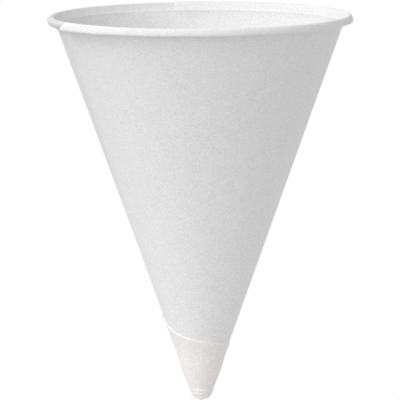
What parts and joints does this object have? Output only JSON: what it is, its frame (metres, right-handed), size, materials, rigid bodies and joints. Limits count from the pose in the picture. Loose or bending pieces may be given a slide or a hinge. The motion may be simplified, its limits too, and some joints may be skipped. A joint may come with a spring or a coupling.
{
  "type": "cone paper cup",
  "caption": "Cone-shaped drinking cup of wound white paper, with a rolled rim, a lapped side seam and a wrapped, crimped tip.",
  "frame": {"origin": "centre of the mouth, in the plane that the rolled rim stands on", "axes": "+Z along the cone's axis from the mouth to the tip; the side seam is on the +X side, turned towards -Y"},
  "size_m": [0.0749, 0.0751, 0.0947],
  "materials": {
    "paper": "matt uncoated white paper"
  },
  "bodies": {
    "root": {"cup": "paper"}
  },
  "joints": []
}
